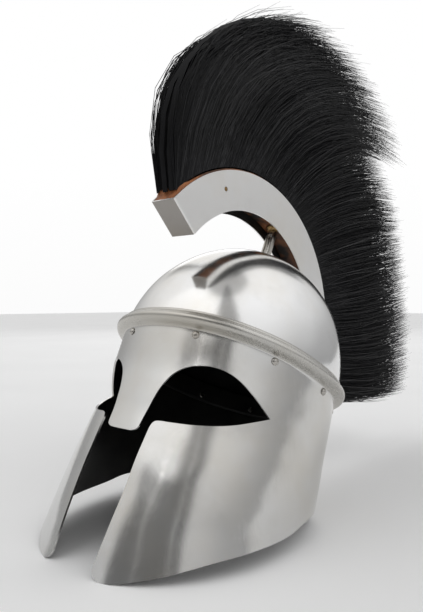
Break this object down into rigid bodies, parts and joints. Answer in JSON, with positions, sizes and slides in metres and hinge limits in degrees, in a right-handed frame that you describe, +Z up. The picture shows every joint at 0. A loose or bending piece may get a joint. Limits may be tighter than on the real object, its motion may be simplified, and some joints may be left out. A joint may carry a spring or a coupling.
{
  "type": "corinthian helmet with crest",
  "caption": "Steel helmet with nasal, eye openings and long cheeks, a pressed brow moulding, and an upright dark horsehair crest in a curved channel.",
  "frame": {"origin": "under the middle of the helmet's box, on the surface that the cheek tips and the nape stand on", "axes": "+X to the wearer's left, -Y the way the face looks, +Z up"},
  "size_m": [0.2252, 0.5858, 0.5255],
  "materials": {
    "steel_sheet": "polished by hand outside, black paint inside",
    "rivet_steel": "satin",
    "channel_steel": "fine brushed",
    "brass": "dull",
    "block_wood": "bare, orange brown",
    "hair": "horsehair, soft sheen"
  },
  "bodies": {
    "root": {"bowl": "steel_sheet", "brow_band": "steel_sheet", "face_guard": "steel_sheet", "rivet_01": "rivet_steel", "rivet_02": "rivet_steel", "rivet_03": "rivet_steel", "rivet_04": "rivet_steel", "rivet_05": "rivet_steel", "rivet_06": "rivet_steel", "rivet_07": "rivet_steel", "rivet_08": "rivet_steel", "rivet_09": "rivet_steel", "rivet_10": "rivet_steel", "crest_holder": "channel_steel", "crest_block": "block_wood", "crest_pin": "brass", "crest_nail": "brass", "crest_post": "channel_steel", "hair_brush": "hair"}
  },
  "joints": []
}
